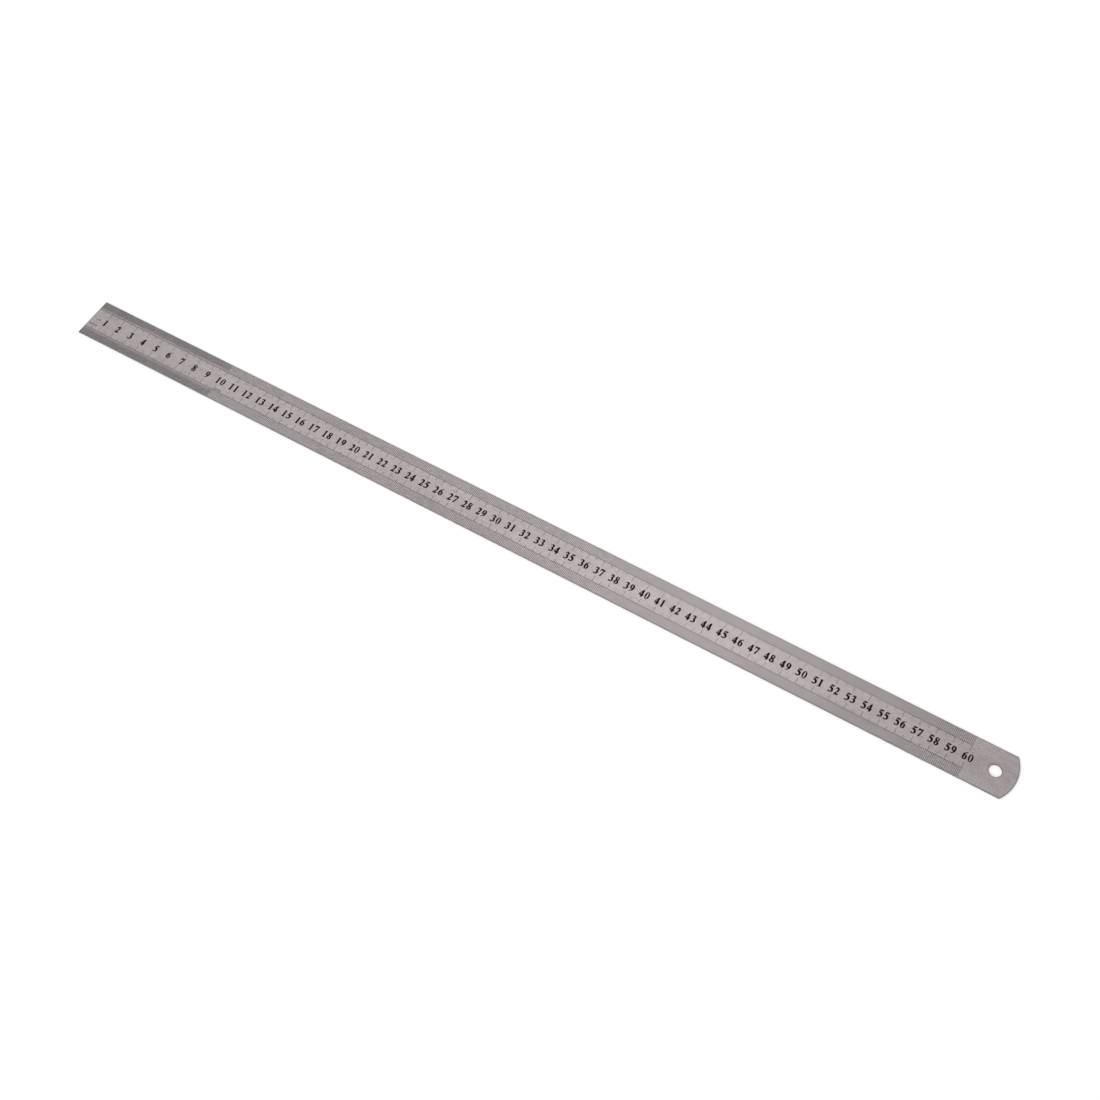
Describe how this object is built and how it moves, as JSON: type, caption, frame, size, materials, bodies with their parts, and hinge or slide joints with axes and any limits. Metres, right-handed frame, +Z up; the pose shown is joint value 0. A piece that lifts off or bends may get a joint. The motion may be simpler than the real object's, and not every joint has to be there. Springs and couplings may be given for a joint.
{
  "type": "steel ruler",
  "caption": "Flat stainless steel metric ruler with a square zero end, a round far end with a hanging hole, and black scales along both long edges.",
  "frame": {"origin": "under the middle of the blade, on the surface that the ruler lies on", "axes": "+X along the ruler from the square zero end to the round end with the hole, +Y across it, +Z up out of the marked face"},
  "size_m": [0.6289, 0.028, 0.001],
  "materials": {
    "steel": "satin, fine lengthwise grain",
    "black_mark": "matt black filling"
  },
  "bodies": {
    "root": {"blade": "steel", "upper_centimetre_marks": "black_mark", "upper_five_millimetre_marks": "black_mark", "upper_millimetre_marks": "black_mark", "upper_half_millimetre_marks": "black_mark", "upper_scale_line": "black_mark", "lower_centimetre_marks": "black_mark", "lower_five_millimetre_marks": "black_mark", "lower_millimetre_marks": "black_mark", "lower_half_millimetre_marks": "black_mark", "lower_scale_line": "black_mark", "numerals_01_to_10": "black_mark", "numerals_11_to_20": "black_mark", "numerals_21_to_30": "black_mark", "numerals_31_to_40": "black_mark", "numerals_41_to_50": "black_mark", "numerals_51_to_60": "black_mark", "unit_marks": "black_mark"}
  },
  "joints": []
}
